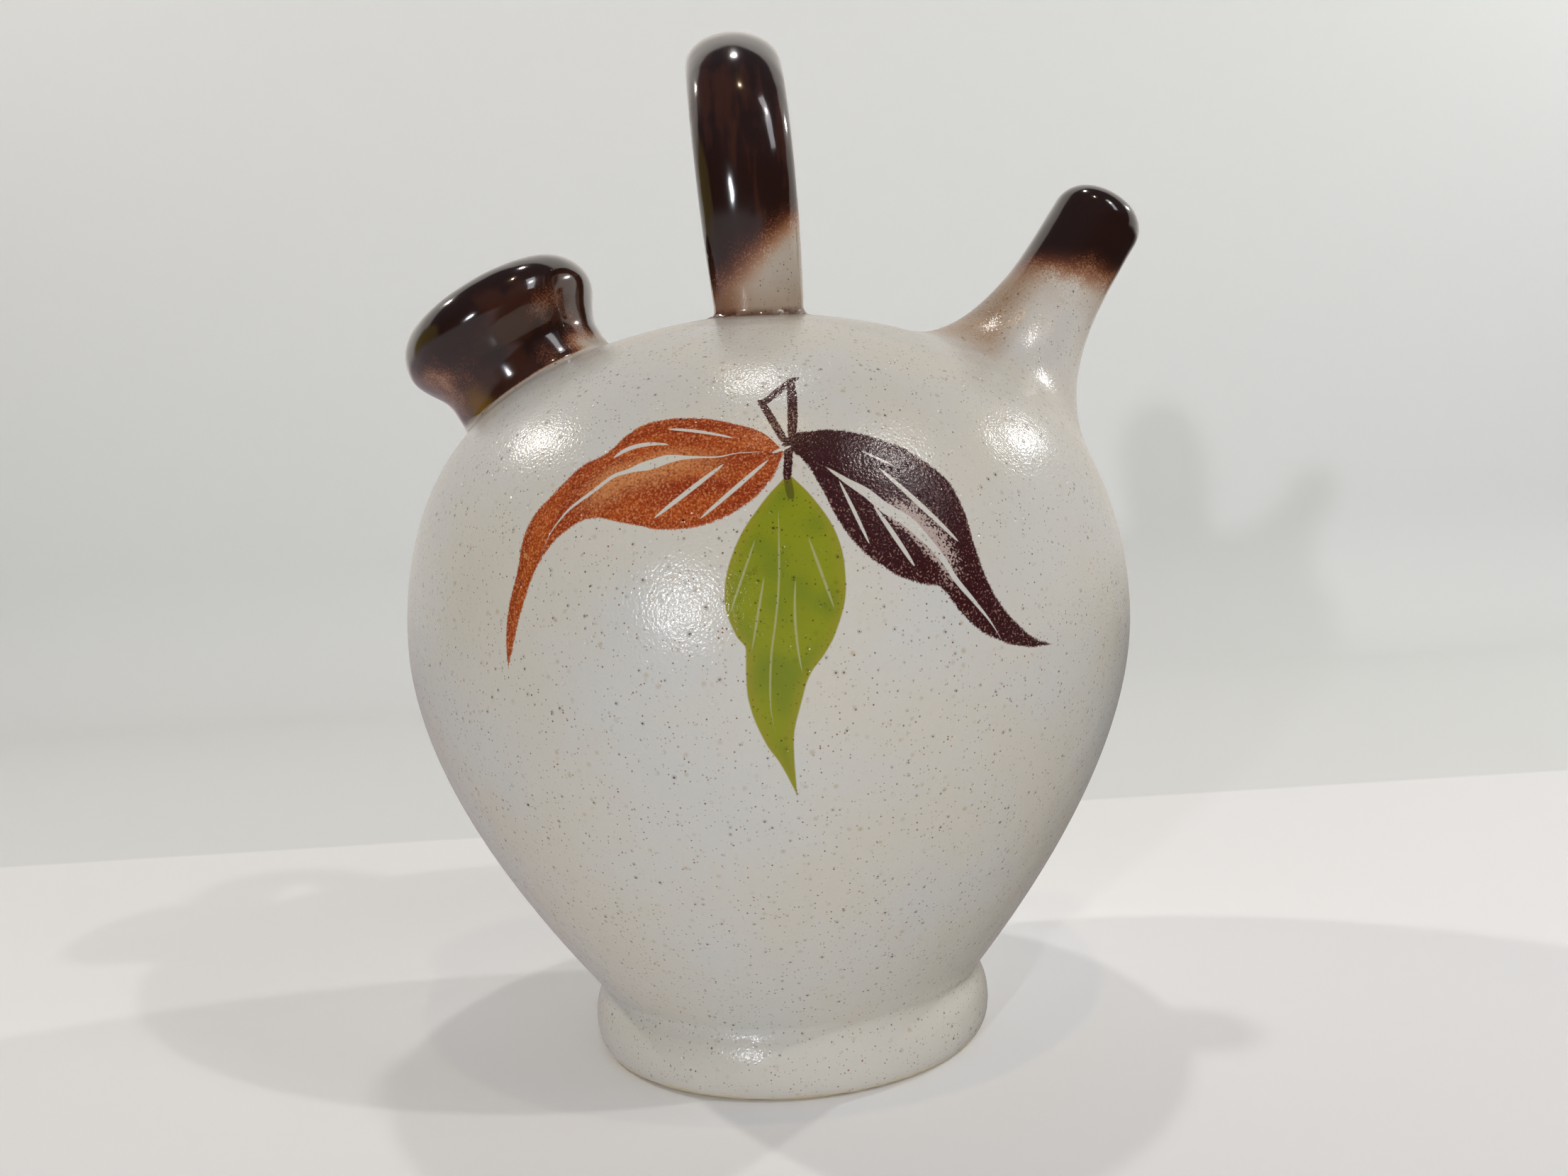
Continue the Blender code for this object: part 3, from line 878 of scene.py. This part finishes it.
def rustColour(add, leaf, grain, speckle):
    # streaked along the leaf, deep red at its edges, pale beside the midrib's widest stretch
    place = add("CombineXYZ", (leaf, "along"), (leaf, "besideRib"), 0.0)
    place = add("VectorMath", place, (4.0, 0.2, 1.0), **times)
    streak = add("TexNoise", {"Vector": place, "Scale": 1.0, "Detail": 2.0})
    streak = add("MapRange", streak, 0.38, 0.6, 0.0, 1.0, **soft)
    tone = add("Mix", streak, linear(paint["rustDeep"]), linear(paint["rust"]), **asColour)
    edge = add("MapRange", (leaf, "inside"), 0.0, 2.6, 0.6, 0.0)
    drops = add("Group", *paint["drops"], node_tree=speckle)
    for share, colour in ((edge, "rustDeep"),
                          (thinPlace(add, leaf, paint["rustThin"]), "rustPale"),
                          (add("MapRange", grain, 0.52, 0.66, 0.0, 0.6), "rustGrainPale"),
                          (add("MapRange", grain, 0.46, 0.34, 0.0, 0.6), "rustGrainDark"),
                          (drops, "rustGrainPale")):
        tone = add("Mix", share, tone, linear(paint[colour]), **asColour)
    return tone


def greenColour(add, leaf, place, onGreen):
    # smooth, yellower towards its edges, with deeper clouds; its veins are only thinned paint, and the
    # end of the stem shows through
    cloud = add("TexNoise", {"Vector": place, "Scale": 1 / 11, "Detail": 1.0})
    cloud = add("MapRange", cloud, 0.38, 0.66, 0.0, 1.0, **soft)
    tone = add("Mix", cloud, linear(paint["green"]), linear(paint["greenDeep"]), **asColour)
    edge = add("MapRange", (leaf, "inside"), 0.0, 3.2, 0.85, 0.0, **soft)
    for share, colour in ((edge, "greenEdge"), (add("Math", (leaf, "veins"), 0.8, **times), "greenVein"),
                          (add("Math", onGreen, 0.55, **times), "brown")):
        tone = add("Mix", share, tone, linear(paint[colour]), **asColour)
    return tone


def brownLeafColour(add, leaf, grain):
    # pale pin grain, denser at the edges and the base, and sponged thin beside the midrib's middle, where
    # it is also painted paler as a painted sheen of the window's reflection
    solid = add("MapRange", (leaf, "inside"), 0.0, 4.0, 0.55, 0.625)
    solid = add("Math", solid, add("MapRange", (leaf, "along"), 0.22, 0.02, 0.0, 0.12), **plus)
    # sponged thin beside the midrib, and paler there as a painted sheen of the window's reflection
    wornAndSheen = thinPlace(add, leaf, paint["brownThinAndSheen"])
    solid = add("Math", solid, wornAndSheen, **minus)
    pin = add("MapRange", add("Math", grain, solid, **minus), 0.0, 0.09, 0.0, 0.85)
    paler = add("Math", wornAndSheen, 5.0, **times, use_clamp=True)
    pale = add("Mix", paler, linear(paint["brownGrain"]), linear(paint["brownWornAndSheen"]), **asColour)
    return add("Mix", pin, linear(paint["brown"]), pale, **asColour)


def sprigColour(add, colour, grain, front, stroke, speckle):
    # the ground colour with the three leaves and the stem painted over it, on the front alone
    taper = sprig["taper"]
    place = (add("Attribute", attribute_name="sprigPlace"), "Vector")
    uv = add("SeparateXYZ", place)
    u, v = (uv, "X"), (uv, "Y")
    notch = add("Group", u, v, *map(float, sprig["notch"]), taper["notch"], node_tree=stroke)
    front = add("Math", front, add("Math", 1.0, notch, **minus), **times)
    ragged = add("MapRange", grain, *noiseSpan, -paint["ragged"], paint["ragged"])
    onGreen = add("Group", v, u, *map(float, sprig["stemOnGreen"]), taper["stemOnGreen"], node_tree=stroke)
    for name in ("rust", "green", "brown"):
        leaf = add("Group", u, v, node_tree=makeLeaf(name, sprig[name], stroke))
        inside = (leaf, "inside")
        if name != "green":
            inside = add("Math", inside, ragged, **plus)
        mask = add("Math", add("MapRange", inside, 0.0, paint["edge"], 0.0, 1.0), front, **times)
        if name != "green":
            mask = add("Math", mask, add("Math", 1.0, (leaf, "veins"), **minus), **times)
        if name == "rust":
            tone = rustColour(add, leaf, grain, speckle)
        elif name == "green":
            tone = greenColour(add, leaf, place, onGreen)
        else:
            tone = brownLeafColour(add, leaf, grain)
        colour = add("Mix", mask, colour, tone, **asColour)

    # the stem, as grainy as the brown leaf
    across = add("Math", u, add("Math", ragged, 0.5, **times), **plus)
    stem = 0.0
    for line in sprig["stem"]:
        one = add("Group", v, across, *map(float, line), taper["stem"], node_tree=stroke)
        stem = add("Math", stem, one, **larger)
    stem = add("Math", stem, front, **times)
    pin = add("MapRange", grain, 0.54, 0.66, 0.0, 0.7)
    tone = add("Mix", pin, linear(paint["brown"]), linear(paint["brownGrain"]), **asColour)
    return add("Mix", stem, colour, tone, **asColour)


def patches(add, p, places):
    # the strongest of several soft round patches: amount times smooth(1 - distance / reach)
    total = 0.0
    for x, y, z, reach, amount in places:
        away = add("VectorMath", p, (x, y, z), operation="DISTANCE")
        one = add("MapRange", (away, "Value"), float(reach), 0.0, 0.0, float(amount), **soft)
        total = add("Math", total, one, **larger)
    return total


def fromSeat(add, p, shape, across):
    # mm from a leaning form's seat: across its axis towards +X, or else up along it
    place, axis = seat(shape)
    way = (axis[2], 0.0, -axis[0]) if across else tuple(axis)
    return add("VectorMath", add("VectorMath", p, tuple(place), **minus), way, **dot)


def brownThickness(add, p, x, z, near, grain):
    # how thick the brown glaze lies, 0 to 1: full on the mouth, and sprayed thinner towards the body on
    # spout and handle, where it ends in a grainy mist; the thin patches are taken off the whole
    g = glaze
    mist = add("MapRange", grain, *noiseSpan, -0.5, 0.5)
    wander = add("TexNoise", {"Vector": p, "Scale": 1 / g["mistWander"], "Detail": 2.0})
    wander = add("MapRange", wander, *noiseSpan, -0.12, 0.12)
    grainy = add("MapRange", near["fromHandle"], 1.0, 0.5, 0.2, 0.3)
    wander = add("Math", mist, grainy, wander, **timesPlus)
    # spout, which is all beyond X 40: by height, a little lower on its outer side
    height = add("Math", x, g["spoutTilt"], z, **timesPlus)
    spout = add("MapRange", height, *g["spoutFade"], 0.0, 1.0)
    tail = add("MapRange", height, *g["spoutTail"], 0.0, g["spoutTailMost"], **soft)
    spout = add("Math", add("Math", spout, tail, **larger), wander, **plus)
    spout = add("Math", spout, add("MapRange", x, 40.0, 42.0, 0.0, 1.0), **times)
    # handle: the edge climbs towards +X, and at -X the mist is deeper and a thin veil reaches the root
    height = add("Math", x, g["handleTilt"], z, **timesPlus)
    height = add("Math", height, g["handleDark"], **minus)
    reach = add("MapRange", x, -9.0, 10.0, *g["handleFade"])
    handle = add("Math", add("Math", height, reach, operation="DIVIDE"), 0.85, **plus)
    handle = add("Math", handle, wander, **plus)
    veil = add("MapRange", x, *g["veil"], 0.0, g["veilMost"], **soft)
    veil = add("Math", veil, add("Math", wander, 0.7, **times), **plus)
    handle = add("Math", handle, veil, **larger)
    handle = add("Math", handle, add("MapRange", near["fromHandle"], 0.6, 1.2, 1.0, 0.0), **times)
    # mouth, which is all beyond X -26: down to its joint, bare at the foot of its neck to the right
    mouth = add("MapRange", near["aboveBody"], 0.5, 1.4, 0.0, 1.0, **soft)
    mouth = add("Math", mouth, add("MapRange", x, -24.0, -26.0, 0.0, 1.0), **times)
    side = add("MapRange", fromSeat(add, p, mouthShape, True), *g["neckBareSide"], 0.0, 1.0, **soft)
    rise = add("MapRange", fromSeat(add, p, mouthShape, False), *g["neckBareRise"], 0.0, 1.0, **soft)
    mouth = add("Math", mouth, add("Math", side, rise, **times), **minus)
    full = add("Math", mouth, add("Math", spout, handle, **larger), **larger)
    thinner = add("Math", patches(add, p, g["thinPatches"]), wander, **plus)
    thinner = add("Math", thinner, 0.0, **larger)
    return add("Math", full, thinner, **minus, use_clamp=True)


def brownColour(add, thickness, p, x):
    # the brown's colour by its thickness, redder where it is thick in streaks down the handle and in
    # clouds on the mouth, and even on the spout's tip
    g = glaze
    fade = add("ValToRGB", thickness)
    ramp = fade.color_ramp
    ramp.interpolation = "B_SPLINE"
    while len(ramp.elements) < len(g["brownStops"]):
        ramp.elements.new(0.5)
    for element, (at, name) in zip(ramp.elements, g["brownStops"]):
        element.position = at
        element.color = linear(g[name])
    stretch = add("VectorMath", p, tuple(1 / size for size in g["streaks"]), **times)
    streaks = add("TexNoise", {"Vector": stretch, "Scale": 1.0, "Detail": 4.0, "Roughness": 0.55})
    clouds = add("TexNoise", {"Vector": p, "Scale": 1 / g["brownClouds"], "Detail": 3.0, "Roughness": 0.55})
    streaks = add("Mix", add("MapRange", x, -30.0, -22.0, 0.0, 1.0), clouds, streaks, **asFloat)
    redder = add("MapRange", add("Math", streaks, clouds, **plus), 0.98, 1.22, 0.0, 0.4, **soft)
    redder = add("Math", redder, add("MapRange", x, 45.0, 20.0, 0.0, 1.0), **times)
    redder = add("Math", redder, add("MapRange", thickness, 0.6, 0.9, 0.0, 1.0), **times)
    return add("Mix", redder, (fade, "Color"), linear(g["brownRed"]), **asColour)


def makeGlaze():
    # colour, gloss and relief of the whole jug: ground, sprig, drifted spray, freckles, brown glaze,
    # bare clay, each over the one before
    material = bpy.data.materials.new("satinAndGlossGlazedStoneware")
    material.use_nodes = True
    tree = material.node_tree
    tree.nodes.clear()
    add = partial(node, tree)
    stroke = makeStroke()
    speckle = makeSpeckle()
    g = glaze

    p = add("VectorMath", {0: (add("TexCoord"), "Object"), "Scale": 1 / metre}, operation="SCALE")
    xyz = add("SeparateXYZ", p)
    x, y, z = (xyz, "X"), (xyz, "Y"), (xyz, "Z")
    near = {}
    for name in ("aboveBody", "fromHandle", "fromMouth", "fromSpout"):
        near[name] = (add("Attribute", attribute_name=name), "Fac")
    above = near["aboveBody"]
    # 1 on the outer skin, 0 in the hollow, which lies a wall below it
    outside = add("MapRange", above, -1.5, -1.0, 0.0, 1.0)
    grain = add("TexNoise", {"Vector": p, "Scale": 1 / paint["grain"], "Detail": 1.0, "Roughness": 0.5})

    colour = groundColour(add, p, z)
    front = add("Math", outside, add("MapRange", y, -25.0, -20.0, 1.0, 0.0), **times)
    colour = sprigColour(add, colour, grain, front, stroke, speckle)

    # brown spray that drifted round the roots of handle and mouth and down the spout's inner side
    side, reach, most = g["innerDrift"]
    drift = add("Math", add("MapRange", fromSeat(add, p, spoutShape, True), *side, 0.0, most, **soft),
                add("MapRange", near["fromSpout"], 0.0, reach, 1.0, 0.0, **soft), **times)
    for name, (reach, most) in g["drift"].items():
        drift = add("Math", drift, add("MapRange", near[name], 0.0, reach, most, 0.0, **soft), **larger)
    drift = add("Math", drift, add("MapRange", grain, *noiseSpan, 0.7, 1.1), **times)
    drift = add("Math", drift, outside, **times)
    colour = add("Mix", drift, colour, linear(g["haze"]), **asColour)
    onHandle = add("MapRange", near["fromHandle"], 0.4, 1.2, 1.0, 0.0)
    root = add("MapRange", above, *g["handleRoot"], 0.0, g["rootHaze"], **soft)
    root = add("Mix", root, linear(g["handlePale"]), linear(g["haze"]), **asColour)
    colour = add("Mix", onHandle, colour, root, **asColour)

    # freckles and iron spots burnt up from the clay, also through the paint; each tints what it is on
    for tint, *sizes in g["dots"]:
        dots = add("Math", add("Group", *sizes, node_tree=speckle), outside, **times)
        colour = add("Mix", dots, colour, linear(g[tint]), blend_type="MULTIPLY", **asColour)

    thickness = add("Math", brownThickness(add, p, x, z, near, grain), outside, **times)
    brown = brownColour(add, thickness, p, x)
    cover = add("MapRange", thickness, 0.0, 0.42, 0.0, 1.0, **soft)
    colour = add("Mix", cover, colour, brown, **asColour)
    colour = add("Mix", patches(add, p, g["amberPatches"]), colour, linear(g["amber"]), **asColour)
    # a dark line of glaze pooled in the handle's joint
    pool = add("Math", above, near["fromHandle"], **plus)
    pool = add("MapRange", pool, *g["pool"], 0.0, g["poolMost"], **soft)
    pool = add("Math", pool, outside, **times)
    colour = add("Mix", pool, colour, linear(g["brownRed"]), **asColour)

    # bare clay along the foot's lower edge
    waves = add("TexNoise", {"Vector": p, "Scale": 1 / g["waves"], "Detail": 1.0})
    edgeHeight = add("Math", z, add("MapRange", waves, *noiseSpan, -0.4, 0.4), **plus)
    bare = add("MapRange", edgeHeight, *g["bareEdge"], 0.0, 1.0)
    colour = add("Mix", bare, colour, linear(g["bareClay"]), **asColour)

    # gloss where the brown is and over the whole strap, satin elsewhere, dull on bare clay
    glossy = add("MapRange", thickness, 0.0, 0.5, 0.0, 1.0, **soft)
    glossy = add("Math", glossy, add("Math", onHandle, g["strapGloss"], **times), **larger)
    onSpout = add("Math", add("MapRange", above, 3.0, 9.0, 0.0, g["stemGloss"], **soft),
                  add("MapRange", near["fromSpout"], 3.0, 1.0, 0.0, 1.0), **times)
    glossy = add("Math", glossy, onSpout, **larger)
    roughness = add("MapRange", glossy, 0.0, 1.0, g["satinRoughness"], g["glossRoughness"])
    roughness = add("Mix", bare, roughness, g["clayRoughness"], **asFloat)

    # relief in mm: grain and pinholes in the satin, waves everywhere
    ripple = add("TexNoise", {"Vector": p, "Scale": 1 / g["ripple"], "Detail": 1.0, "Roughness": 0.5})
    ripple = add("Math", ripple, g["rippleHeight"], **times)
    satin = add("Math", add("Group", *g["pits"], node_tree=speckle), g["pitHeight"], ripple, **timesPlus)
    satin = add("Math", satin, add("Math", 1.0, glossy, **minus), **times)
    height = add("Math", waves, g["waveHeight"], satin, **timesPlus)
    relief = add("Bump", {"Strength": 1.0, "Distance": metre, "Height": height})

    add("OutputMaterial", add("BsdfPrincipled", {
        "Base Color": colour, "Roughness": roughness, "Normal": relief, "IOR": 1.5,
        "Specular IOR Level": g["baseSpecular"], "Coat Weight": glossy,
        "Coat Roughness": g["mirrorRoughness"], "Coat IOR": 1.5, "Coat Normal": relief}))
    return material


# Table and wall, plain and pale, of board rolled with matt paint, which shows no image of anything. The
# wall's foot is drawn on the table where the photo shows it; all lengths here are in metres.
studio = {
    "tableColour": "#f7f7f8",
    "wallColour": "#e9ebea",
    "roughness": 0.7,
    "wallFoot": 0.231,
    "footBlur": 0.0015,
    "wallDistance": 0.80,
    "reach": 3.0,
    "cornerRadius": 0.12,
}


def stripAcross(name, run, rise, material):
    # an outline of (distance behind the jug, height), carried straight across the room; the glaze
    # mirrors the even room in its place
    sides = (-studio["reach"], studio["reach"])
    rows = [np.stack([np.full(len(run), side), run, rise], 1) for side in sides]
    i = np.arange(len(run) - 1)
    faces = np.stack([i, i + len(run), i + len(run) + 1, i + 1], 1)
    strip = meshObject(name, np.concatenate(rows) / metre, faces, material)
    strip.visible_glossy = False


def makeStage():
    # a flat table, then a quarter circle up into an upright wall
    s = studio
    material = bpy.data.materials.new("paintedBoard")
    material.use_nodes = True
    material.node_tree.nodes.clear()
    add = partial(node, material.node_tree)
    xyz = add("SeparateXYZ", (add("TexCoord"), "Object"))
    foot = s["wallFoot"]
    beyond = add("MapRange", (xyz, "Y"), foot - s["footBlur"], foot + s["footBlur"], 0.0, 1.0)
    colour = add("Mix", beyond, linear(s["tableColour"]), linear(s["wallColour"]), **asColour)
    matt = {"Base Color": colour, "Roughness": s["roughness"], "IOR": 1.4}
    add("OutputMaterial", add("BsdfPrincipled", matt))
    bend = s["wallDistance"] - s["cornerRadius"]
    turn = np.linspace(0, math.pi / 2, 16)
    run = np.concatenate([bend + s["cornerRadius"] * np.sin(turn), [s["wallDistance"]]])
    rise = np.concatenate([s["cornerRadius"] * (1 - np.cos(turn)), [s["reach"]]])
    stripAcross("table", np.array([-s["reach"], bend]), np.zeros(2), material)
    stripAcross("wall", run, rise, material)


# Lamps by direction from the jug: azimuth from the camera's side towards +X, elevation, distance
# and radius in metres, watts, colour
lamps = {
    "rightLamp": (112, 31.5, 1.5, 0.028, 4.0, "#fbfbf7"),
    "leftLamp": (-108, 43.5, 1.5, 0.028, 4.2, "#fff7ec"),
    "topLamp": (175, 83.5, 1.4, 0.035, 2.5, "#fffaf4"),
    "cornerLamp": (52, 46, 1.5, 0.02, 3.0, "#fffaf4"),
    "frontLamp": (-24, 6.8, 1.6, 0.025, 6.8, "#f4f8ff"),
    "warmLamp": (11, 68, 1.6, 0.02, 1.4, "#ffe0b4"),
}
# Soft panels: azimuth, elevation, distance, width, height, watts, colour
panels = {
    "window": (52, 41, 1.5, 0.24, 0.8, 2.2, "#f4f4fa"),
    "fill": (17, 8, 1.6, 1.2, 1.2, 7.4, "#fefefe"),
}
jugMiddle = (0.0, 0.0, 0.12)  # what every light is turned to, in metres


def aimedLight(name, shape, width, height, watts, colour, azimuth, elevation, distance):
    # an area light placed on a sphere round the jug's middle and turned towards it
    light = bpy.data.lights.new(name, "AREA")
    light.shape = shape
    light.size = width
    light.size_y = height
    light.energy = watts
    light.color = linear(colour)[:3]
    a, e = math.radians(azimuth), math.radians(elevation)
    out = np.array([math.sin(a) * math.cos(e), -math.cos(a) * math.cos(e), math.sin(e)])
    made = bpy.data.objects.new(name, light)
    turn = Matrix.Rotation(a, 4, "Z") @ Matrix.Rotation(math.pi / 2 - e, 4, "X")
    made.matrix_world = Matrix.Translation(out * distance + np.array(jugMiddle)) @ turn
    bpy.context.scene.collection.objects.link(made)
    return made


def makeLights():
    # one round lamp for each row of lamps, and one oblong panel for each row of panels
    for name, (azimuth, elevation, distance, radius, watts, colour) in lamps.items():
        aimedLight(name, "DISK", 2 * radius, 2 * radius, watts, colour, azimuth, elevation, distance)
    for name, (azimuth, elevation, distance, width, height, watts, colour) in panels.items():
        panel = aimedLight(name, "RECTANGLE", width, height, watts, colour, azimuth, elevation, distance)
        # the fill stands for light from all round, so the glaze shows no image of it
        panel.visible_glossy = name != "fill"


# The room that the glaze mirrors, and what the camera would see beyond the wall. Each pair gives the
# parts of a direction, of length 1, between which one colour fades into the next.
room = {
    "wall": "#e1dcd5",
    "ceiling": "#43474f",
    "front": "#2b2625",
    "table": "#a39a9e",
    "farTable": "#2b2625",
    "leftWall": "#8f8147",
    "shown": "#dddcd8",
    "ceilingRise": (0.1, 0.6),
    "wallTop": (-0.2, -0.1),
    "wallTilt": -0.52,
    "leftSide": (-0.89, -0.95),
    "leftTop": (0.85, 0.72),
    "tableEnd": (0.2, 0.5),
    "tableLine": (0.05, -0.15),
}


def makeRoom():
    # a pale wall behind and overhead, an olive one far to the left, a dim ceiling and front, and the
    # table below, which ends at the right
    r = room
    world = bpy.data.worlds.new("room")
    bpy.context.scene.world = world
    world.use_nodes = True
    world.node_tree.nodes.clear()
    add = partial(node, world.node_tree)
    way = add("SeparateXYZ", (add("TexCoord"), "Generated"))
    x, y, z = (way, "X"), (way, "Y"), (way, "Z")
    front = add("MapRange", z, *r["ceilingRise"], 0.0, 1.0, **soft)
    upper = add("Mix", front, linear(r["front"]), linear(r["ceiling"]), **asColour)
    back = add("Math", z, r["wallTilt"], y, **timesPlus)
    back = add("MapRange", back, *r["wallTop"], 0.0, 1.0, **soft)
    upper = add("Mix", back, upper, linear(r["wall"]), **asColour)
    left = add("Math", add("MapRange", x, *r["leftSide"], 0.0, 1.0, **soft),
               add("MapRange", z, *r["leftTop"], 0.0, 1.0, **soft), **times)
    upper = add("Mix", left, upper, linear(r["leftWall"]), **asColour)
    lower = add("MapRange", x, *r["tableEnd"], 0.0, 1.0, **soft)
    lower = add("Mix", lower, linear(r["table"]), linear(r["farTable"]), **asColour)
    below = add("MapRange", z, *r["tableLine"], 0.0, 1.0, **soft)
    mirrored = add("Mix", below, upper, lower, **asColour)
    seen = add("Mix", (add("LightPath"), "Is Camera Ray"), mirrored, linear(r["shown"]), **asColour)
    add("OutputWorld", add("Background", seen, 1.0))


# Camera fitted to the outline of the body, the foot's ellipse and the foot's joint; the picture's
# own pixels size the lens
camera = {
    "distance": 329.37,
    "height": 128.33,
    "focalPixels": 1799.04,
    "pictureWidth": 2212,
    "sensor": 36.0,
    "yaw": -0.712,
    "pitch": -2.658,
    "roll": -3.396,
}


def makeCamera():
    # in front of the jug at the photo's angle: level, then rolled, pitched and turned, in degrees
    c = camera
    data = bpy.data.cameras.new("camera")
    data.sensor_width = c["sensor"]
    data.lens = c["focalPixels"] * data.sensor_width / c["pictureWidth"]
    data.clip_start = 0.01
    made = bpy.data.objects.new("camera", data)
    yaw, pitch, roll = (math.radians(c[name]) for name in ("yaw", "pitch", "roll"))
    turn = (Matrix.Rotation(yaw, 4, "Z") @ Matrix.Rotation(pitch, 4, "X")
            @ Matrix.Rotation(-roll, 4, "Y") @ Matrix.Rotation(math.pi / 2, 4, "X"))
    made.matrix_world = Matrix.Translation((0.0, -c["distance"] * metre, c["height"] * metre)) @ turn
    bpy.context.scene.collection.objects.link(made)
    bpy.context.scene.camera = made


makeCamera()
makeStage()
makeLights()
makeRoom()
bpy.context.scene.view_settings.view_transform = "Standard"
report("camera, stage and lights")
glazed = makeGlaze()
report("glaze and sprig")
jug = makeJug(glazed)
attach(jug, "root")
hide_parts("jug")
report("jug")
